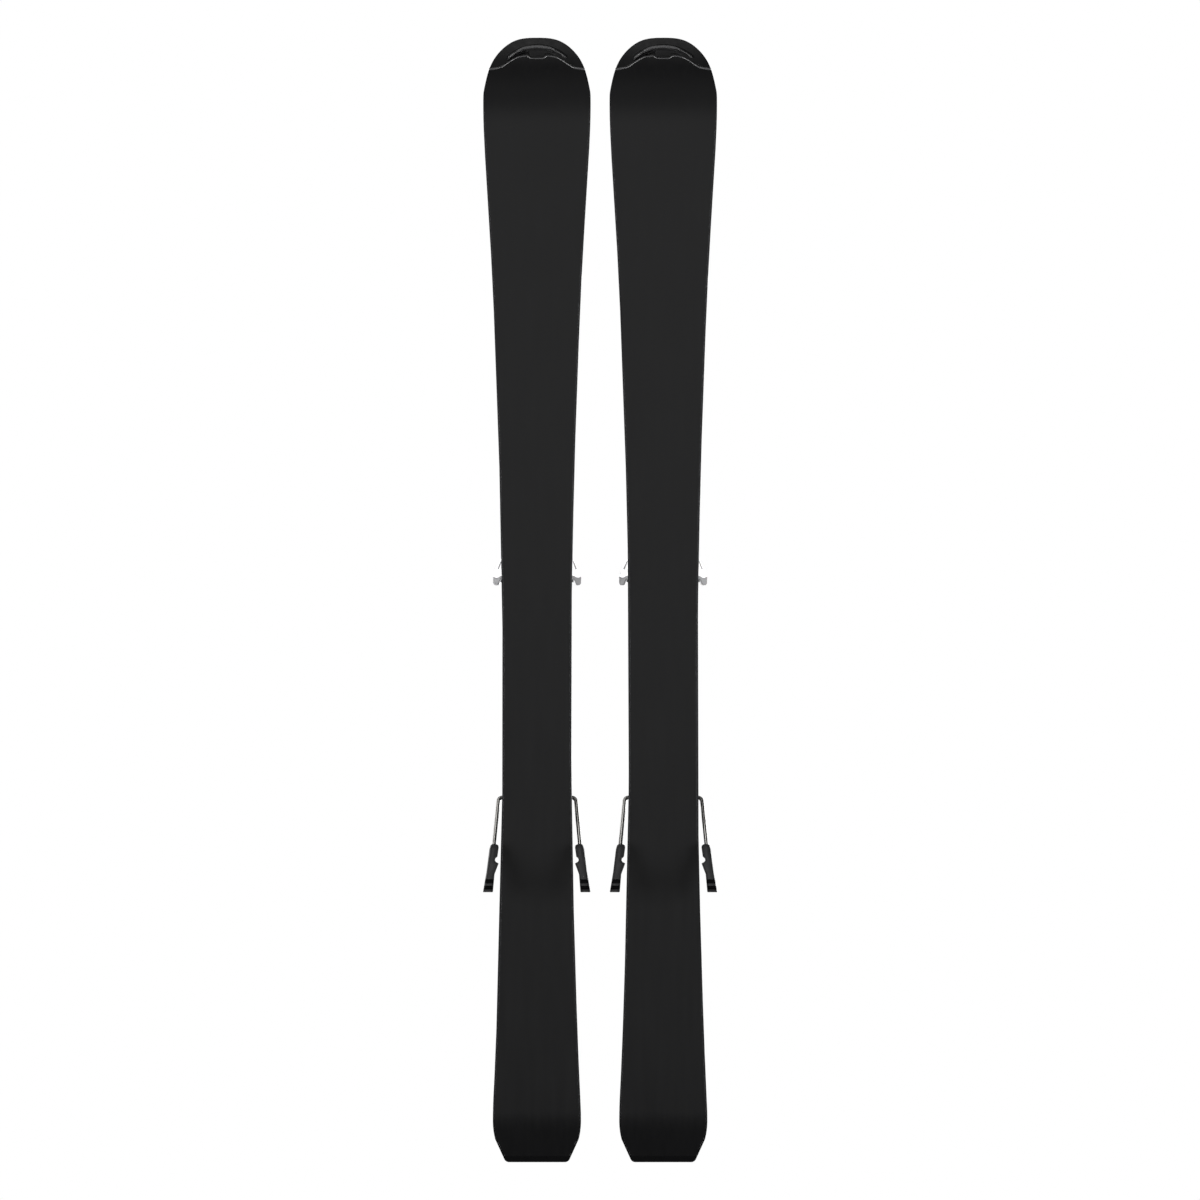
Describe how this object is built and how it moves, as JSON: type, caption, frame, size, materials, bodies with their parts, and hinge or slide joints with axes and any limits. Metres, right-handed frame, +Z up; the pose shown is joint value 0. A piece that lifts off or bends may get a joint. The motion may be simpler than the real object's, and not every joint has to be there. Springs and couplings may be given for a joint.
{
  "type": "alpine skis with bindings",
  "caption": "Pair of short alpine skis with steel edges and step-in bindings: toe wings, sliding heel, lever and spring ski brakes.",
  "frame": {"origin": "on the left ski's running surface, on its centre line at the waist (its narrowest place)", "axes": "+Z up through the binding, +Y to the ski tips, +X to the skier's right; the right ski's centre line is at X 123.4 mm"},
  "size_m": [0.2284, 1.0999, 0.1648],
  "materials": {
    "base_sole": "ground",
    "edge_steel": "ground",
    "core_wood": "raw",
    "sidewall_plastic": "satin",
    "topsheet_print": "gloss",
    "protector_plastic": "satin",
    "fastener_steel": "zinc plated",
    "spring_steel": "plain",
    "binding_black": "moulded",
    "binding_grey": "moulded",
    "binding_white": "moulded",
    "slider_white": "polished",
    "brake_wire": "plated",
    "foot_black": "moulded"
  },
  "bodies": {
    "left_ski": {"left_running_base": "base_sole", "left_steel_edges": "edge_steel", "left_wood_core": "core_wood", "left_sidewalls": "sidewall_plastic", "left_topsheet": "topsheet_print", "left_tip_protector": "protector_plastic", "left_tail_protector": "protector_plastic", "left_binding_screws": "fastener_steel", "left_toe_plate": "binding_black", "left_toe_pad": "slider_white", "left_toe_housing": "binding_white", "left_toe_wing_pins": "fastener_steel", "left_toe_spring": "spring_steel", "left_heel_track": "binding_black"},
    "left_left_wing": {"left_toe_wing_left": "binding_white"},
    "left_right_wing": {"left_toe_wing_right": "binding_white"},
    "left_toe_screw": {"left_toe_release_screw": "fastener_steel"},
    "left_heel_slide": {"left_heel_carriage": "binding_grey", "left_heel_pivot_pin": "fastener_steel", "left_brake_base": "binding_black", "left_brake_spring": "spring_steel"},
    "left_heel": {"left_heel_housing": "binding_white", "left_heel_cup": "binding_black", "left_heel_spring": "spring_steel", "left_heel_lever_pin": "fastener_steel"},
    "left_lever": {"left_heel_lever": "binding_black"},
    "left_heel_screw": {"left_heel_release_screw": "fastener_steel"},
    "left_brake": {"left_brake_arms": "brake_wire", "left_brake_feet": "foot_black", "left_brake_pedal": "binding_black"},
    "right_ski": {"right_running_base": "base_sole", "right_steel_edges": "edge_steel", "right_wood_core": "core_wood", "right_sidewalls": "sidewall_plastic", "right_topsheet": "topsheet_print", "right_tip_protector": "protector_plastic", "right_tail_protector": "protector_plastic", "right_binding_screws": "fastener_steel", "right_toe_plate": "binding_black", "right_toe_pad": "slider_white", "right_toe_housing": "binding_white", "right_toe_wing_pins": "fastener_steel", "right_toe_spring": "spring_steel", "right_heel_track": "binding_black"},
    "right_left_wing": {"right_toe_wing_left": "binding_white"},
    "right_right_wing": {"right_toe_wing_right": "binding_white"},
    "right_toe_screw": {"right_toe_release_screw": "fastener_steel"},
    "right_heel_slide": {"right_heel_carriage": "binding_grey", "right_heel_pivot_pin": "fastener_steel", "right_brake_base": "binding_black", "right_brake_spring": "spring_steel"},
    "right_heel": {"right_heel_housing": "binding_white", "right_heel_cup": "binding_black", "right_heel_spring": "spring_steel", "right_heel_lever_pin": "fastener_steel"},
    "right_lever": {"right_heel_lever": "binding_black"},
    "right_heel_screw": {"right_heel_release_screw": "fastener_steel"},
    "right_brake": {"right_brake_arms": "brake_wire", "right_brake_feet": "foot_black", "right_brake_pedal": "binding_black"}
  },
  "joints": [
    {"name": "left_left_wing_release", "type": "hinge", "parent": "left_ski", "child": "left_left_wing", "pos_m": [-0.017, 0.16, 0.047], "axis": [0, 0, -1], "range_deg": [0, 28], "stiffness_Nm_per_rad": 2, "springref_deg": -28.65},
    {"name": "left_right_wing_release", "type": "hinge", "parent": "left_ski", "child": "left_right_wing", "pos_m": [0.017, 0.16, 0.047], "axis": [0, 0, 1], "range_deg": [0, 28], "stiffness_Nm_per_rad": 2, "springref_deg": -28.65},
    {"name": "left_toe_screw_turn", "type": "hinge", "parent": "left_ski", "child": "left_toe_screw", "pos_m": [0, 0.203, 0.047], "axis": [0, 1, 0], "range_deg": [-720, 720]},
    {"name": "left_heel_adjust", "type": "slide", "parent": "left_ski", "child": "left_heel_slide", "axis": [0, 1, 0], "range_m": [-0.012, 0.012]},
    {"name": "left_heel_open", "type": "hinge", "parent": "left_heel_slide", "child": "left_heel", "pos_m": [0, -0.188, 0.038], "axis": [1, 0, 0], "range_deg": [0, 34]},
    {"name": "left_lever_swing", "type": "hinge", "parent": "left_heel", "child": "left_lever", "pos_m": [0, -0.15, 0.066], "axis": [1, 0, 0], "range_deg": [0, 24]},
    {"name": "left_heel_screw_turn", "type": "hinge", "parent": "left_heel", "child": "left_heel_screw", "pos_m": [0, -0.192, 0.054], "axis": [0, 1, 0], "range_deg": [-720, 720]},
    {"name": "left_brake_swing", "type": "hinge", "parent": "left_heel_slide", "child": "left_brake", "pos_m": [0, -0.0933, 0.031], "axis": [-1, 0, 0], "range_deg": [0, 44], "stiffness_Nm_per_rad": 3, "springref_deg": -57.3},
    {"name": "right_left_wing_release", "type": "hinge", "parent": "right_ski", "child": "right_left_wing", "pos_m": [0.1064, 0.16, 0.047], "axis": [0, 0, -1], "range_deg": [0, 28], "stiffness_Nm_per_rad": 2, "springref_deg": -28.65},
    {"name": "right_right_wing_release", "type": "hinge", "parent": "right_ski", "child": "right_right_wing", "pos_m": [0.1404, 0.16, 0.047], "axis": [0, 0, 1], "range_deg": [0, 28], "stiffness_Nm_per_rad": 2, "springref_deg": -28.65},
    {"name": "right_toe_screw_turn", "type": "hinge", "parent": "right_ski", "child": "right_toe_screw", "pos_m": [0.1234, 0.203, 0.047], "axis": [0, 1, 0], "range_deg": [-720, 720]},
    {"name": "right_heel_adjust", "type": "slide", "parent": "right_ski", "child": "right_heel_slide", "axis": [0, 1, 0], "range_m": [-0.012, 0.012]},
    {"name": "right_heel_open", "type": "hinge", "parent": "right_heel_slide", "child": "right_heel", "pos_m": [0.1234, -0.188, 0.038], "axis": [1, 0, 0], "range_deg": [0, 34]},
    {"name": "right_lever_swing", "type": "hinge", "parent": "right_heel", "child": "right_lever", "pos_m": [0.1234, -0.15, 0.066], "axis": [1, 0, 0], "range_deg": [0, 24]},
    {"name": "right_heel_screw_turn", "type": "hinge", "parent": "right_heel", "child": "right_heel_screw", "pos_m": [0.1234, -0.192, 0.054], "axis": [0, 1, 0], "range_deg": [-720, 720]},
    {"name": "right_brake_swing", "type": "hinge", "parent": "right_heel_slide", "child": "right_brake", "pos_m": [0.1234, -0.0933, 0.031], "axis": [-1, 0, 0], "range_deg": [0, 44], "stiffness_Nm_per_rad": 3, "springref_deg": -57.3},
    {"name": "pair_slide", "type": "slide", "parent": "left_ski", "child": "right_ski", "axis": [0, 1, 0], "range_m": [-0.03, 0.03]}
  ],
  "couplings": [
    {"joint": "left_lever_swing", "follows": "left_heel_open", "ratio": 0.7},
    {"joint": "right_lever_swing", "follows": "right_heel_open", "ratio": 0.7}
  ]
}
